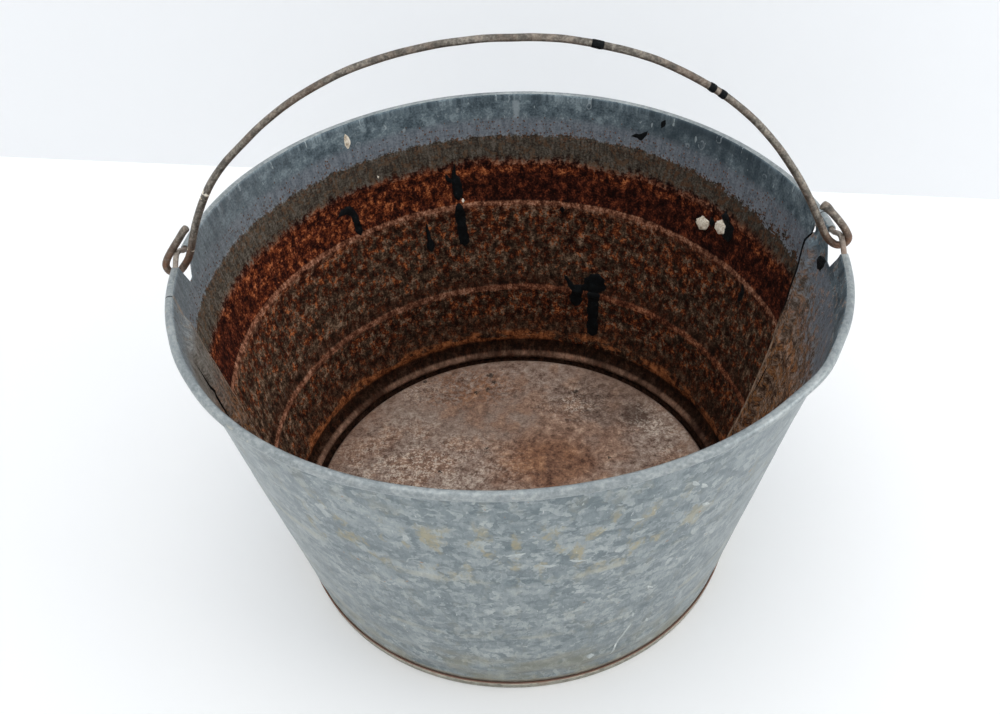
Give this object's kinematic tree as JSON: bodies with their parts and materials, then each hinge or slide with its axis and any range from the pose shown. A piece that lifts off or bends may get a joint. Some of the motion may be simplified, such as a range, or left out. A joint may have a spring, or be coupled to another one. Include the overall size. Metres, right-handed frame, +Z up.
{
  "type": "galvanised bucket",
  "caption": "Round tapered sheet-steel bucket with lock-seamed wall, wired rim, folded foot and a swinging wire bail hooked into wire ears.",
  "frame": {"origin": "centre of the foot, on the floor the bucket stands on", "axes": "+Z up along the bucket's axis, X through the two bail ears, the front of the bucket towards -Y"},
  "size_m": [0.3578, 0.3443, 0.3157],
  "materials": {
    "front_wall": "spangled galvanised zinc outside, rust stained zinc inside",
    "back_wall": "spangled galvanised zinc outside, heavy red-brown rust inside below a zinc band",
    "base": "rusted and limescale-mottled sheet steel",
    "rim_wire": "galvanised wire, rusty at the ears",
    "bail": "weathered brown-grey steel wire"
  },
  "bodies": {
    "bucket": {"front_wall": "front_wall", "back_wall": "back_wall", "base": "base", "rim_wire": "rim_wire"},
    "bail": {"bail": "bail"}
  },
  "joints": [
    {"name": "bail_swing", "type": "hinge", "parent": "bucket", "child": "bail", "pos_m": [0, 0, 0.1931], "axis": [1, 0, 0], "range_deg": [-55, 55]}
  ]
}
